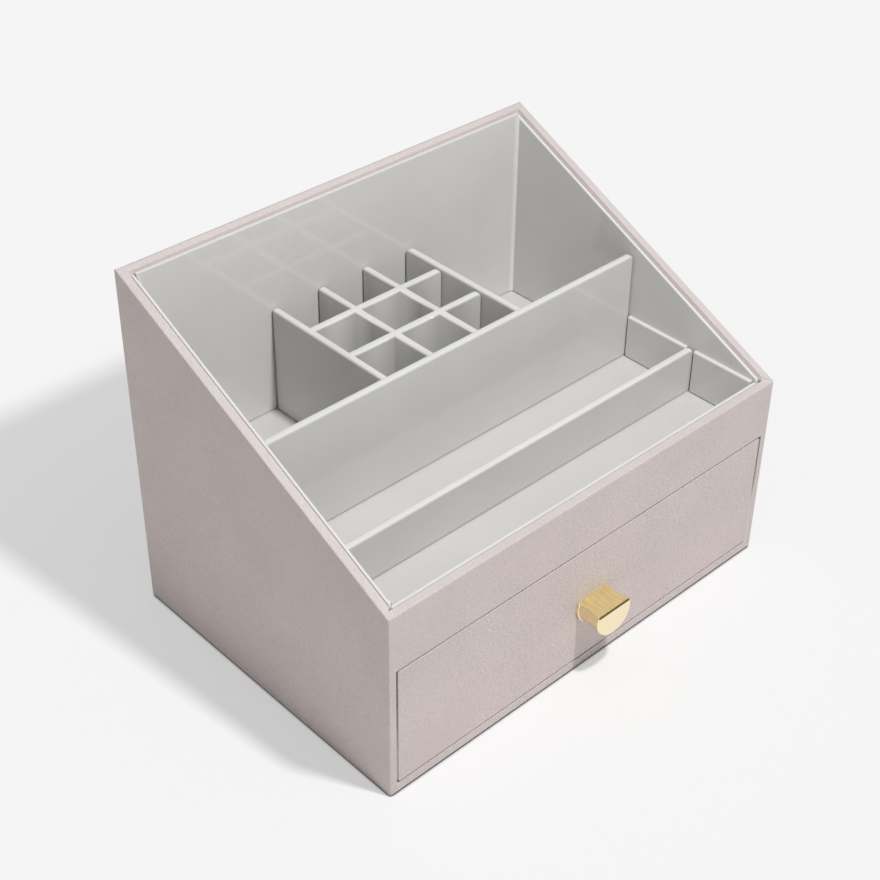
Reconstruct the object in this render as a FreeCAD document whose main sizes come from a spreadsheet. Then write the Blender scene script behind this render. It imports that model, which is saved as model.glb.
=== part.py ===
"""Wedge-shaped makeup storage case with one flush drawer and a half-round brass handle.

Wrapped-board construction in millimetres. +Z is up, the drawer faces -Y, and the origin is the
centre of the base face, on the surface that the case stands on.
"""
import FreeCAD, Part
import os
import re

import Sketcher

# Driving dimensions: alias, value in millimetres, what it is.
DIMENSIONS = [
    # outside of the case
    ("case_width", 250.0, "outside width, left to right"),
    ("case_depth", 178.5, "outside depth, front to back"),
    ("front_height", 104.5, "floor to the front rim"),
    ("back_height", 190.0, "floor to the back rim"),
    ("foot", 1.2, "thickness of the sheet that the case stands on"),
    ("foot_inset", 3.5, "how far that sheet is set in from the outside"),
    # boards and wrap of the case
    ("board", 3.5, "fibreboard of sides, back, front rail, base and shelf"),
    ("skin", 0.4, "leatherette wrap"),
    ("edge_round", 1.5, "rounding of the wrapped outside edges"),
    ("turn_in", 12.0, "how far the wrap is turned in round the opening and the base"),
    ("rim_turn_in", 15.0, "how far the wrap is turned down inside the rims"),
    ("drawer_roof", 73.2, "floor to the upper edge of the drawer opening"),
    # tray
    ("tray_level", 80.0, "floor to the tray's floor"),
    ("groove", 0.2, "slit between a wrapped wall and its liner"),
    ("liner", 2.5, "thickness of the tray's liners"),
    ("side_drop", 1.55, "side liner's top below the sloped rim"),
    ("front_drop", 0.8, "front liner's top below the front rim"),
    ("back_drop", 3.2, "back liner's top below the back rim"),
    ("liner_round", 1.0, "rounding of the liners' inner top edges"),
    # dividers
    ("divider", 4.0, "thickness of the dividers"),
    ("divider_corner", 3.0, "rounding of the dividers' free top corners"),
    ("divider_edge", 1.2, "rounding along the dividers' top edges"),
    ("end_gap", 0.5, "clearance at the free ends of the dividers"),
    ("low_top", 105.4, "floor to the top of the low front divider"),
    ("tall_top", 140.2, "floor to the top of the tall divider"),
    ("grid_top", 138.2, "floor to the flush tops of the bay dividers and the grid"),
    ("strip_top", 104.4, "floor to the top of the side strips"),
    ("strip", 2.3, "thickness of the side strips"),
    ("low_front", 43.6, "case front to the front face of the low divider"),
    ("tall_front", 87.0, "case front to the front face of the tall divider"),
    ("grid_left", 78.5, "case left side to the left face of the left bay divider"),
    ("grid_right", 167.9, "case left side to the right face of the right bay divider"),
    ("slot_gap", 0.05, "clearance at each side of a slat in a halving slot"),
    # drawer
    ("drawer_gap", 0.6, "slit round the drawer front"),
    ("front_corner", 1.3, "rounding of the drawer front's corners"),
    ("drawer_board", 3.0, "fibreboard of the drawer's sides and back"),
    ("drawer_skin", 0.3, "wrap of the drawer's sides and back"),
    ("drawer_inset", 0.2, "drawer box inside the ends of its front"),
    ("drawer_lift", 0.2, "underside of the drawer above the wrap in the opening"),
    ("drawer_side_top", 62.0, "floor to the top of the drawer's side boards"),
    ("drawer_back_gap", 2.4, "space behind the closed drawer"),
    ("drawer_floor", 2.5, "thickness of the drawer's bottom board"),
    ("drawer_pad", 2.0, "thickness of the pad on the drawer's floor"),
    ("drawer_liner", 1.5, "thickness of the drawer's liners"),
    ("drawer_liner_drop", 0.5, "drawer liners below the tops of the boards"),
    # handle and its screw
    ("handle_shift", 1.0, "handle's axis to the right of the middle"),
    ("handle_level", 38.6, "floor to the handle's axis"),
    ("handle_flat", 3.6, "flat top above the handle's axis"),
    ("handle_reach", 14.3, "handle's projection from the drawer front"),
    ("handle_base", 10.8, "radius of the handle's foot"),
    ("handle_foot", 1.5, "thickness of the handle's foot"),
    ("handle_neck", 10.3, "radius of the neck at its root"),
    ("handle_hollow", 19.0, "radius of the hollow along the neck"),
    ("handle_face", 10.95, "radius of the handle's face"),
    ("handle_lip", 0.7, "straight rim behind the handle's face"),
    ("handle_bevel", 0.5, "bevel round the handle's face and along the flat's front edge"),
    ("screw_bore", 1.55, "radius of the tapped hole in the handle"),
    ("screw_shank", 1.5, "radius of the screw"),
    ("screw_clear", 1.8, "radius of the hole through the drawer front"),
    ("screw_head", 3.2, "radius of the screw's head"),
    ("screw_head_tall", 2.0, "height of the screw's head"),
    ("screw_grip", 9.0, "length of screw inside the handle"),
    ("screw_recess", 0.9, "width of the cross recess"),
    ("screw_recess_arm", 1.9, "reach of the cross recess from the screw's axis"),
    ("screw_recess_deep", 1.1, "depth of the cross recess"),
    ("liner_hole", 5.0, "radius of the hole in the front liner over the screw"),
]

# Levels and lines worked out from the driving dimensions.
LINES = {
    "half_width": "case_width / 2",
    "half_depth": "case_depth / 2",
    "wall": "skin + board + skin",
    "board_round": "edge_round - skin",
    "rim_skin": "skin / cos(atan(slope))",
    "slope": "(back_height - front_height) / case_depth",
    "board_x": "half_width - skin",
    "board_y": "half_depth - skin",
    "inner_x": "half_width - skin - board",
    "inner_y": "half_depth - skin - board",
    "clear_x": "half_width - wall",
    "clear_y": "half_depth - wall",
    "base_low": "foot + skin",
    "base_top": "foot + skin + board",
    "opening_low": "foot + wall",
    "shelf_low": "drawer_roof + skin",
    "shelf_top": "drawer_roof + skin + board",
    "lined_x": "half_width - wall - groove",
    "lined_y": "half_depth - wall - groove",
    "tray_x": "half_width - wall - groove - liner",
    "tray_y": "half_depth - wall - groove - liner",
    "low_y": "low_front - half_depth",
    "tall_y": "tall_front - half_depth",
    "grid_y": "tall_front - half_depth + divider",
    "cell_x": "(grid_right - grid_left - 4 * divider) / 3",
    "cell_y": "(tray_y - grid_y - 2 * divider) / 3",
    "bay_left_x": "grid_left - half_width",
    "bay_right_x": "grid_right - half_width - divider",
    "cross_left_x": "bay_left_x + divider + cell_x",
    "cross_right_x": "bay_left_x + 2 * divider + 2 * cell_x",
    "slat_front_y": "grid_y + cell_y",
    "slat_back_y": "grid_y + 2 * cell_y + divider",
    "half_slot": "(tray_level + grid_top) / 2",
    "front_x": "clear_x - drawer_gap",
    "front_low": "opening_low + drawer_gap",
    "front_top": "drawer_roof - drawer_gap",
    "box_x": "front_x - drawer_inset",
    "box_board_x": "front_x - drawer_inset - drawer_skin",
    "box_inner_x": "front_x - drawer_inset - drawer_skin - drawer_board",
    "box_lined_x": "front_x - drawer_inset - drawer_skin - drawer_board - drawer_liner",
    "box_back_y": "inner_y - drawer_back_gap",
    "box_board_y": "inner_y - drawer_back_gap - drawer_skin",
    "box_inner_y": "inner_y - drawer_back_gap - drawer_skin - drawer_board",
    "box_lined_y": "inner_y - drawer_back_gap - drawer_skin - drawer_board - drawer_liner",
    "box_low": "opening_low + drawer_lift",
    "box_floor": "opening_low + drawer_lift + drawer_floor",
    "pad_top": "opening_low + drawer_lift + drawer_floor + drawer_pad",
    "box_liner_top": "drawer_side_top - drawer_liner_drop",
}

SHEET = "Dimensions"
PIECES = []

doc = FreeCAD.newDocument("MakeupCase")


def fill_sheet():
    """Write the driving dimensions, with their aliases and meanings."""
    sheet = doc.addObject("Spreadsheet::Sheet", SHEET)
    for row, (alias, value, meaning) in enumerate(DIMENSIONS, start=1):
        sheet.set("A%d" % row, meaning)
        sheet.set("B%d" % row, str(value))
        sheet.setAlias("B%d" % row, alias)
    doc.recompute()
    return sheet


sheet = fill_sheet()
ALIASES = {alias for alias, _value, _meaning in DIMENSIONS}


def formula(text):
    """Spell a formula out in references to the sheet's cells."""
    def spell(match):
        word = match.group(0)
        if word in ALIASES:
            return "%s.%s" % (SHEET, word)
        if word in LINES:
            return "(%s)" % formula(LINES[word])
        return word
    return re.sub(r"[a-z_]+", spell, str(text))


def value_of(text):
    """Number that a formula gives now, for a first guess or a test on an edge."""
    return float(sheet.evalExpression(formula(text)))


def bind(target, name, text):
    target.setExpression(name, formula(text))


def place(target, x="0", y="0", z="0"):
    """Bind the three coordinates of an object's placement."""
    bind(target, "Placement.Base.x", x)
    bind(target, "Placement.Base.y", y)
    bind(target, "Placement.Base.z", z)


def piece(target, label):
    """Name an object as a finished piece of the case."""
    target.Label = label
    PIECES.append(target)
    return target


def block(name, x, y, z):
    """Box between two formulas on each axis."""
    box = doc.addObject("Part::Box", name)
    bind(box, "Length", "%s - (%s)" % (x[1], x[0]))
    bind(box, "Width", "%s - (%s)" % (y[1], y[0]))
    bind(box, "Height", "%s - (%s)" % (z[1], z[0]))
    place(box, x[0], y[0], z[0])
    return box


def board(label, x, y, z):
    """Plain rectangular piece."""
    return piece(block(label, x, y, z), label)


def both_sides(limit):
    """The two formulas that lie either side of the middle plane."""
    return ("-(%s)" % limit, limit)


def joined(name, parts):
    """One tool from several solids."""
    fuse = doc.addObject("Part::MultiFuse", name)
    fuse.Shapes = parts
    return fuse


def cut(name, base, tool):
    result = doc.addObject("Part::Cut", name)
    result.Base = base
    result.Tool = tool
    return result


def origin_plane(body, role):
    """Plane of the body's own origin with the given role."""
    for feature in body.Origin.OriginFeatures:
        if feature.Role == role:
            return feature
    raise ValueError("no plane " + role)


def new_sketch(body, name, role):
    sketch = body.newObject("Sketcher::SketchObject", name)
    sketch.AttachmentSupport = (origin_plane(body, role), [""])
    sketch.MapMode = "FlatFace"
    return sketch


def pin_point(sketch, edge, end, point):
    """Bind both coordinates of one end of an edge to formulas."""
    for kind, text in zip(("DistanceX", "DistanceY"), point):
        at = sketch.addConstraint(Sketcher.Constraint(kind, -1, 1, edge, end, value_of(text)))
        bind(sketch, "Constraints[%d]" % at, text)


def draw_outline(sketch, points):
    """Closed outline of straight edges through points given as pairs of formulas."""
    spots = [FreeCAD.Vector(value_of(u), value_of(v), 0) for u, v in points]
    count = len(spots)
    edges = []
    for at in range(count):
        edges.append(sketch.addGeometry(Part.LineSegment(spots[at], spots[(at + 1) % count])))
    for at in range(count):
        sketch.addConstraint(Sketcher.Constraint("Coincident", edges[at], 2, edges[(at + 1) % count], 1))
    for edge, point in zip(edges, points):
        pin_point(sketch, edge, 1, point)


def padded_body(name, role, points, length):
    """Body with one outline padded along its plane's normal."""
    body = doc.addObject("PartDesign::Body", name)
    sketch = new_sketch(body, name + "_outline", role)
    draw_outline(sketch, points)
    pad = body.newObject("PartDesign::Pad", name + "_pad")
    pad.Profile = sketch
    bind(pad, "Length", length)
    doc.recompute()
    return body


def pocket(body, name, role, outlines, start="0", length=None):
    """Cut outlines out of the body: both ways through it, or from a start to a depth along the normal."""
    sketch = new_sketch(body, name + "_outline", role)
    bind(sketch, "AttachmentOffset.Base.z", start)
    for points in outlines:
        draw_outline(sketch, points)
    before = body.Tip.Shape.Volume
    hole = body.newObject("PartDesign::Pocket", name)
    hole.Profile = sketch
    if length is None:
        hole.Type = "ThroughAll"
        hole.SideType = "Two sides"
        hole.Type2 = "ThroughAll"
    else:
        hole.Reversed = True
        bind(hole, "Length", length)
    doc.recompute()
    if not hole.Shape.Volume < before:
        raise ValueError("%s cuts nothing" % name)
    return hole


def round_edges(body, name, radius, chosen, kind="PartDesign::Fillet", size="Radius"):
    """Round or bevel the edges of the body's latest feature that pass the test."""
    base = body.Tip
    names = ["Edge%d" % at for at, edge in enumerate(base.Shape.Edges, start=1) if chosen(edge)]
    feature = body.newObject(kind, name)
    feature.Base = (base, names)
    bind(feature, size, radius)
    doc.recompute()
    return feature


def lies_at(edge, axis, place_on_axis, slack=1e-4):
    """True when the whole edge lies at one coordinate of one axis ('x', 'y' or 'z')."""
    return all(abs(getattr(vertex.Point, axis) - place_on_axis) < slack for vertex in edge.Vertexes)


def runs_along(edge, axis, slack=1e-4):
    """True when the edge is straight and runs along one axis."""
    if len(edge.Vertexes) != 2:
        return False
    step = edge.Vertexes[1].Point - edge.Vertexes[0].Point
    others = [name for name in "xyz" if name != axis]
    return all(abs(getattr(step, name)) < slack for name in others)


def upright(across, level):
    """Outline of an upright rectangle from two formulas across and two for its levels."""
    return [(across[0], level[0]), (across[1], level[0]), (across[1], level[1]), (across[0], level[1])]


def sloped(y, drop):
    """Height of the sloped rim at a depth, less a drop."""
    return "front_height + (%s + half_depth) * slope - (%s)" % (y, drop)


# ---------------------------------------------------------------- case

def side_outline(y_front, y_back, low, drop):
    """Side view of a board whose top follows the sloped rim."""
    return [
        (y_front, low),
        (y_back, low),
        (y_back, sloped(y_back, drop)),
        (y_front, sloped(y_front, drop)),
    ]


def is_back_top(edge):
    """True for the top back edge of a board that is as deep and as high as the boards go."""
    high = value_of(sloped("board_y", "rim_skin"))
    return lies_at(edge, "y", value_of("board_y")) and lies_at(edge, "z", high)


def make_side_board(label, side):
    """Fibreboard side with its outside edges rounded; side is -1 for left and 1 for right."""
    outline = side_outline("-(board_y)", "board_y", "base_low", "rim_skin")
    body = padded_body(label, "YZ_Plane", outline, "board")
    place(body, x="-(board_x)" if side < 0 else "inner_x")
    outside = 0.0 if side < 0 else value_of("board")
    round_edges(body, label + "_round", "board_round",
                lambda edge: lies_at(edge, "x", outside) or is_back_top(edge))
    return piece(body, label)


def make_back_board():
    """Fibreboard back between the sides, its top bevelled to the slope."""
    outline = side_outline("inner_y", "board_y", "base_low", "rim_skin")
    body = padded_body("back_board", "YZ_Plane", outline, "2 * inner_x")
    place(body, x="-(inner_x)")
    round_edges(body, "back_board_round", "board_round", is_back_top)
    return piece(body, "back_board")


def make_outer_wrap(boards):
    """One leatherette sheet: the wrapped outline of the case less boards, tray and drawer space."""
    outline = side_outline("-(half_depth)", "half_depth", "foot", "0")
    shell = padded_body("wrap_shell", "YZ_Plane", outline, "case_width")
    place(shell, x="-(half_width)")
    ends = (0.0, value_of("case_width"))
    low = value_of("foot")

    def outside_edge(edge):
        on_side = any(lies_at(edge, "x", end) for end in ends)
        return (on_side or runs_along(edge, "x")) and not lies_at(edge, "z", low)

    round_edges(shell, "wrap_shell_round", "edge_round", outside_edge)
    high = "back_height + board"
    tray = block("tray_space", both_sides("clear_x"), both_sides("clear_y"), ("drawer_roof", high))
    sliver = block("rail_sliver", both_sides("clear_x"), ("-(half_depth) - board", "-(clear_y)"),
                   ("front_height", high))
    opening = block("drawer_space", both_sides("clear_x"), ("-(half_depth) - board", "clear_y"),
                    ("opening_low", "drawer_roof"))
    behind = block("bare_cavity", both_sides("inner_x"), ("turn_in - half_depth", "inner_y"),
                   ("base_top", "shelf_low"))
    under = block("bare_base", both_sides("half_width - turn_in"), both_sides("half_depth - turn_in"),
                  ("0", "base_low"))
    bare = side_outline("-(inner_y)", "inner_y", "shelf_low", "rim_turn_in")
    walls = padded_body("bare_walls", "YZ_Plane", bare, "2 * inner_x")
    place(walls, x="-(inner_x)")
    tool = joined("wrap_inside", [tray, sliver, opening, behind, under, walls] + boards)
    return piece(cut("outer_wrap", shell, tool), "outer_wrap")


def make_case():
    low_sides = both_sides("inner_x")
    left = make_side_board("side_board_left", -1)
    right = make_side_board("side_board_right", 1)
    back = make_back_board()
    rail = board("front_rail", low_sides, ("-(board_y)", "-(inner_y)"),
                 ("shelf_low", "front_height - skin"))
    base = board("base_board", low_sides, ("-(board_y)", "inner_y"), ("base_low", "base_top"))
    shelf = board("shelf_board", low_sides, both_sides("inner_y"), ("shelf_low", "shelf_top"))
    make_outer_wrap([left, right, back, rail, base, shelf])
    board("base_sheet", both_sides("half_width - foot_inset"), both_sides("half_depth - foot_inset"),
          ("0", "foot"))


# ---------------------------------------------------------------- tray lining

def make_side_liner(label, side):
    """Side liner following the slope, its inner top edge rounded."""
    outline = side_outline("-(lined_y)", "lined_y", "tray_level", "side_drop")
    body = padded_body(label, "YZ_Plane", outline, "liner")
    place(body, x="-(lined_x)" if side < 0 else "tray_x")
    inside = value_of("liner") if side < 0 else 0.0

    def inner_top(edge):
        return lies_at(edge, "x", inside) and not (runs_along(edge, "y") or runs_along(edge, "z"))

    round_edges(body, label + "_round", "liner_round", inner_top)
    return piece(body, label)


def make_end_liner(label, y, top, inside):
    """Front or back liner between the side liners, rounded along the top of its inside face."""
    outline = upright(both_sides("tray_x"), ("tray_level", top))
    body = padded_body(label, "XZ_Plane", outline, "liner")
    place(body, y=y)
    face = value_of(inside)
    high = value_of(top)
    round_edges(body, label + "_round", "liner_round",
                lambda edge: lies_at(edge, "y", face) and lies_at(edge, "z", high))
    return piece(body, label)


def make_tray_lining():
    make_side_liner("tray_liner_left", -1)
    make_side_liner("tray_liner_right", 1)
    make_end_liner("tray_liner_front", "-(tray_y)", "front_height - front_drop", "0")
    make_end_liner("tray_liner_back", "lined_y", "back_height - back_drop", "-(liner)")
    board("tray_floor", both_sides("lined_x"), both_sides("lined_y"), ("shelf_top", "tray_level"))


# ---------------------------------------------------------------- dividers

def make_strip(label, side, y):
    """Low strip against a side liner, its inner top edge rounded."""
    body = padded_body(label, "YZ_Plane", upright(y, ("tray_level", "strip_top")), "strip")
    place(body, x="-(tray_x)" if side < 0 else "tray_x - strip")
    inside = value_of("strip") if side < 0 else 0.0
    high = value_of("strip_top")
    round_edges(body, label + "_round", "liner_round",
                lambda edge: lies_at(edge, "x", inside) and lies_at(edge, "z", high))
    return piece(body, label)


def make_divider(label, role, across, top, round_ends, slots=(), slot_level=None):
    """Divider seen in the plane of its role, padded to its thickness.

    across holds its two ends and round_ends the ones of them whose top corner is rounded. The long
    edges of both faces are rounded too, and halving slots are cut at the places in slots.
    """
    body = padded_body(label, role, upright(across, ("tray_level", top)), "divider")
    along, through = ("x", "y") if role == "XZ_Plane" else ("y", "x")
    thickness = value_of("divider")
    faces = (0.0, -thickness) if role == "XZ_Plane" else (0.0, thickness)
    high = value_of(top)
    low = value_of("tray_level")
    free = [value_of(end) for end in round_ends]
    square = [value_of(end) for end in across if end not in round_ends]

    def corner(edge):
        return runs_along(edge, through) and lies_at(edge, "z", high) \
            and any(lies_at(edge, along, end) for end in free)

    def face_edge(edge):
        on_face = any(lies_at(edge, through, face) for face in faces)
        at_square_end = any(lies_at(edge, along, end) for end in square)
        return on_face and not at_square_end and not lies_at(edge, "z", low)

    round_edges(body, label + "_corners", "divider_corner", corner)
    round_edges(body, label + "_edges", "divider_edge", face_edge)
    if slots:
        outlines = [
            upright(("%s - slot_gap" % start, "%s + divider + slot_gap" % start), slot_level)
            for start in slots
        ]
        pocket(body, label + "_slots", role, outlines)
    return body


def make_cross_divider(label, x, y, top, slots=()):
    """Divider running left to right, both top corners round, its slots cut from below."""
    body = make_divider(label, "XZ_Plane", x, top, x, slots, ("tray_level - board", "half_slot"))
    place(body, y="%s + divider" % y)
    return piece(body, label)


def make_long_divider(label, x, y, top, slots=()):
    """Divider running front to back, its back top corner round, its slots cut from above."""
    body = make_divider(label, "YZ_Plane", y, top, y[1:], slots, ("half_slot", top + " + board"))
    place(body, x=x)
    return piece(body, label)


def make_dividers():
    full = ("-(tray_x) + end_gap", "tray_x - end_gap")
    make_cross_divider("front_divider", full, "low_y", "low_top")
    make_cross_divider("tall_divider", full, "tall_y", "tall_top")
    for name, side in (("left", -1), ("right", 1)):
        make_strip("front_strip_" + name, side, ("-(tray_y)", "low_y"))
        make_strip("middle_strip_" + name, side, ("low_y + divider", "tall_y"))

    lengthways = ("grid_y", "tray_y - end_gap")
    make_long_divider("bay_divider_left", "bay_left_x", lengthways, "grid_top")
    make_long_divider("bay_divider_right", "bay_right_x", lengthways, "grid_top")

    crosses = {"left": "cross_left_x", "right": "cross_right_x"}
    slats = {"front": "slat_front_y", "back": "slat_back_y"}
    between = ("bay_left_x + divider + end_gap / 2", "bay_right_x - end_gap / 2")
    for name, y in slats.items():
        make_cross_divider("grid_slat_" + name, between, y, "grid_top", list(crosses.values()))
    for name, x in crosses.items():
        make_long_divider("grid_cross_" + name, x, lengthways, "grid_top", list(slats.values()))


# ---------------------------------------------------------------- drawer

def make_rounded_slab(name, x_half, y, z, corner):
    """Slab facing the front, with its four corners rounded in front view."""
    body = padded_body(name, "XZ_Plane", upright(both_sides(x_half), z), "%s - (%s)" % (y[1], y[0]))
    place(body, y=y[1])
    round_edges(body, name + "_corners", corner, lambda edge: runs_along(edge, "y"))
    return body


def screw_hole(name, radius, y):
    """Cylinder along Y on the handle's axis, from one depth to another."""
    hole = doc.addObject("Part::Cylinder", name)
    bind(hole, "Radius", radius)
    bind(hole, "Height", "%s - (%s)" % (y[1], y[0]))
    hole.Placement.Rotation = FreeCAD.Rotation(FreeCAD.Vector(1, 0, 0), 90)
    place(hole, "handle_shift", y[1], "handle_level")
    return hole


def make_drawer_front():
    """Front board, its wrap turned in at the back, and the hole for the screw through both."""
    core = make_rounded_slab("front_core", "front_x - skin", ("-(board_y)", "-(inner_y)"),
                             ("front_low + skin", "front_top - skin"), "front_corner - skin")
    through = screw_hole("screw_way", "screw_clear", ("-(half_depth) - board", "-(clear_y) + board"))
    piece(cut("drawer_front_board", core, through), "drawer_front_board")
    blank = make_rounded_slab("front_wrap_blank", "front_x", ("-(half_depth)", "-(clear_y)"),
                              ("front_low", "front_top"), "front_corner")
    window = block("front_wrap_window", both_sides("front_x - turn_in"),
                   ("-(inner_y)", "-(clear_y)"), ("front_low + turn_in", "front_top - turn_in"))
    tool = joined("front_wrap_inside", [core, window, through])
    piece(cut("drawer_front_wrap", blank, tool), "drawer_front_wrap")


def make_drawer_box():
    sides_y = ("-(clear_y)", "box_board_y")
    sides_z = ("box_low", "drawer_side_top")
    board("drawer_side_left", ("-(box_board_x)", "-(box_inner_x)"), sides_y, sides_z)
    board("drawer_side_right", ("box_inner_x", "box_board_x"), sides_y, sides_z)
    board("drawer_back", both_sides("box_inner_x"), ("box_inner_y", "box_board_y"), sides_z)
    board("drawer_bottom", both_sides("box_inner_x"), ("-(clear_y)", "box_inner_y"),
          ("box_low", "box_floor"))
    outside = block("box_wrap_blank", both_sides("box_x"), ("-(clear_y)", "box_back_y"),
                    ("box_low", "drawer_side_top + drawer_skin"))
    boards = block("box_wrap_boards", both_sides("box_board_x"), ("-(clear_y) - board", "box_board_y"),
                   ("box_low - board", "drawer_side_top"))
    inside = block("box_wrap_inside", both_sides("box_inner_x"), ("-(clear_y) - board", "box_inner_y"),
                   ("box_low - board", "drawer_side_top + board"))
    piece(cut("drawer_wrap", outside, joined("box_wrap_tool", [boards, inside])), "drawer_wrap")


def make_drawer_lining():
    lined_z = ("box_floor", "box_liner_top")
    full_y = ("-(clear_y)", "box_inner_y")
    board("drawer_liner_left", ("-(box_inner_x)", "-(box_lined_x)"), full_y, lined_z)
    board("drawer_liner_right", ("box_lined_x", "box_inner_x"), full_y, lined_z)
    between = both_sides("box_lined_x")
    front_y = ("-(clear_y)", "-(clear_y) + drawer_liner")
    front = block("front_liner_blank", between, front_y, lined_z)
    hole = screw_hole("liner_screw_way", "liner_hole", ("-(clear_y) - board", "-(clear_y) + board"))
    piece(cut("drawer_liner_front", front, hole), "drawer_liner_front")
    board("drawer_liner_back", between, ("box_lined_y", "box_inner_y"), lined_z)
    board("drawer_floor_pad", between, ("-(clear_y) + drawer_liner", "box_lined_y"),
          ("box_floor", "pad_top"))


# ---------------------------------------------------------------- handle

def revolve(name, draw):
    """Body revolved about its own Y axis from an outline that draw puts in an XY sketch."""
    body = doc.addObject("PartDesign::Body", name)
    sketch = new_sketch(body, name + "_outline", "XY_Plane")
    draw(sketch)
    turned = body.newObject("PartDesign::Revolution", name + "_turned")
    turned.Profile = sketch
    turned.ReferenceAxis = (sketch, ["V_Axis"])
    turned.Angle = 360
    doc.recompute()
    return body


def hollow_middle(start, end, radius):
    """Middle point of an arc between two points that bends towards the Y axis."""
    chord = end - start
    half = chord.Length / 2
    depth = radius - (radius * radius - half * half) ** 0.5
    inward = FreeCAD.Vector(chord.y, -chord.x, 0).normalize()
    if inward.x > 0:
        inward = -inward
    return (start + end) * 0.5 + inward * depth


def draw_handle(sketch):
    """Half section of the knob: foot, hollow neck, face with a bevelled rim."""
    corners = [
        ("0", "0"),
        ("handle_base", "0"),
        ("handle_base", "-(handle_foot)"),
        ("handle_neck", "-(handle_foot)"),
        ("handle_face", "handle_lip + handle_bevel - handle_reach"),
        ("handle_face", "handle_bevel - handle_reach"),
        ("handle_face - handle_bevel", "-(handle_reach)"),
        ("0", "-(handle_reach)"),
    ]
    neck = 3
    spots = [FreeCAD.Vector(value_of(u), value_of(v), 0) for u, v in corners]
    edges = []
    ends = []
    for at, start in enumerate(spots):
        end = spots[(at + 1) % len(spots)]
        line = Part.LineSegment(start, end)
        if at == neck:
            line = Part.Arc(start, hollow_middle(start, end, value_of("handle_hollow")), end)
        edges.append(sketch.addGeometry(line))
        kept = sketch.Geometry[edges[at]]
        ends.append((1, 2) if (kept.StartPoint - start).Length < (kept.EndPoint - start).Length else (2, 1))
    for at, edge in enumerate(edges):
        after = (at + 1) % len(edges)
        sketch.addConstraint(
            Sketcher.Constraint("Coincident", edge, ends[at][1], edges[after], ends[after][0]))
        pin_point(sketch, edge, ends[at][0], corners[at])
    radius = sketch.addConstraint(Sketcher.Constraint("Radius", edges[neck], value_of("handle_hollow")))
    bind(sketch, "Constraints[%d]" % radius, "handle_hollow")


def make_handle():
    """Brass knob turned on its axis, cut flat above it and tapped from the back."""
    body = revolve("handle", draw_handle)
    place(body, "handle_shift", "-(half_depth)", "handle_level")
    wide = "handle_face + board"
    pocket(body, "handle_flat_cut", "XZ_Plane", [upright(both_sides(wide), ("handle_flat", wide))])
    flat = value_of("handle_flat")
    front = -value_of("handle_reach")
    round_edges(body, "handle_flat_bevel", "handle_bevel",
                lambda edge: lies_at(edge, "z", flat) and lies_at(edge, "y", front),
                "PartDesign::Chamfer", "Size")
    bore = doc.addObject("Part::Cylinder", "handle_bore")
    bind(bore, "Radius", "screw_bore")
    bind(bore, "Height", "screw_grip + screw_bore")
    bore.Placement.Rotation = FreeCAD.Rotation(FreeCAD.Vector(1, 0, 0), 90)
    place(bore, "handle_shift", "-(half_depth)", "handle_level")
    return piece(cut("drawer_handle", body, bore), "drawer_handle")


def draw_screw(sketch):
    """Half section of the screw: cheese head behind the drawer front, shank towards the face."""
    shank_end = "-(wall) - screw_grip"
    draw_outline(sketch, [
        ("0", shank_end),
        ("screw_shank", shank_end),
        ("screw_shank", "0"),
        ("screw_head", "0"),
        ("screw_head", "screw_head_tall"),
        ("0", "screw_head_tall"),
    ])


def make_screw():
    """Machine screw with a cross recess, its head on the back of the drawer front."""
    body = revolve("handle_screw", draw_screw)
    place(body, "handle_shift", "-(inner_y)", "handle_level")
    top = value_of("screw_head_tall")
    round_edges(body, "screw_head_round", "screw_head_tall / 3",
                lambda edge: lies_at(edge, "y", top) and edge.Length > top)
    bars = {
        "across": ("screw_recess_arm", "screw_recess / 2"),
        "upright": ("screw_recess / 2", "screw_recess_arm"),
    }
    for name, (half_x, half_z) in bars.items():
        bar = upright(both_sides(half_x), both_sides(half_z))
        pocket(body, "screw_recess_" + name, "XZ_Plane", [bar], "-(screw_head_tall)", "screw_recess_deep")
    return piece(body, "handle_screw")


# ---------------------------------------------------------------- build, check and write

def check_and_write():
    doc.recompute()
    for item in doc.Objects:
        if "Invalid" in item.State or "Error" in item.State:
            raise ValueError("%s failed: %s" % (item.Label, item.State))
    os.makedirs("parts", exist_ok=True)
    for item in PIECES:
        if item.Shape.isNull() or not item.Shape.isValid():
            raise ValueError("%s has no valid shape" % item.Label)
    for item in PIECES:
        item.Shape.exportStep(os.path.join("parts", item.Label + ".step"))
    print("%d pieces written" % len(PIECES))


make_case()
make_tray_lining()
make_dividers()
make_drawer_front()
make_drawer_box()
make_drawer_lining()
make_handle()
make_screw()
check_and_write()
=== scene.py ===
"""Looks of the makeup storage case: leatherette wrap, glossy grey tray, lined drawer, brass knob.

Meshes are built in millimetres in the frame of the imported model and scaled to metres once.
"""
import json
import math

import bmesh
import bpy
from mathutils import Matrix, Vector


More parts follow.
